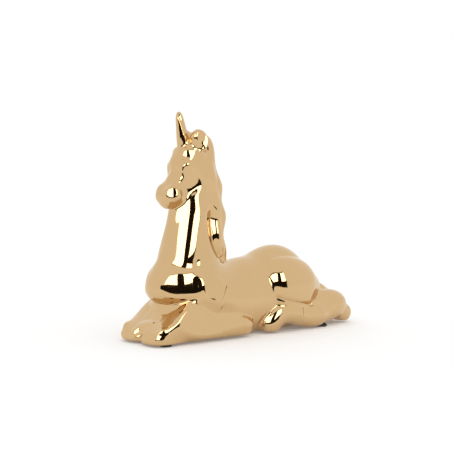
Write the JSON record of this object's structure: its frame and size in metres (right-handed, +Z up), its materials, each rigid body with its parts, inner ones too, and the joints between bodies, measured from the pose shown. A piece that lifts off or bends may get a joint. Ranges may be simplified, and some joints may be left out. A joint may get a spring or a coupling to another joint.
{
  "type": "unicorn figurine",
  "caption": "Reclining unicorn ornament with a raised neck, smooth horn and folded legs, in gold-plated glazed ceramic, standing on stick-on pads.",
  "frame": {"origin": "centre of the figure's footprint, on the surface it stands on", "axes": "+Z up, -Y towards the chest and knees, +X to the figure's own left, the side its tail swings to"},
  "size_m": [0.0822, 0.234, 0.1994],
  "materials": {
    "gold_glaze": "mirror gold plating over a smooth glaze",
    "pad": "matt black stick-on disc"
  },
  "bodies": {
    "root": {"torso": "gold_glaze", "neck": "gold_glaze", "head": "gold_glaze", "horn": "gold_glaze", "ear_left": "gold_glaze", "ear_right": "gold_glaze", "mane": "gold_glaze", "foreleg_left": "gold_glaze", "foreleg_right": "gold_glaze", "hind_leg_left": "gold_glaze", "hind_leg_right": "gold_glaze", "tail": "gold_glaze", "front_left_pad": "pad", "front_right_pad": "pad", "rear_left_pad": "pad", "rear_right_pad": "pad"}
  },
  "joints": []
}
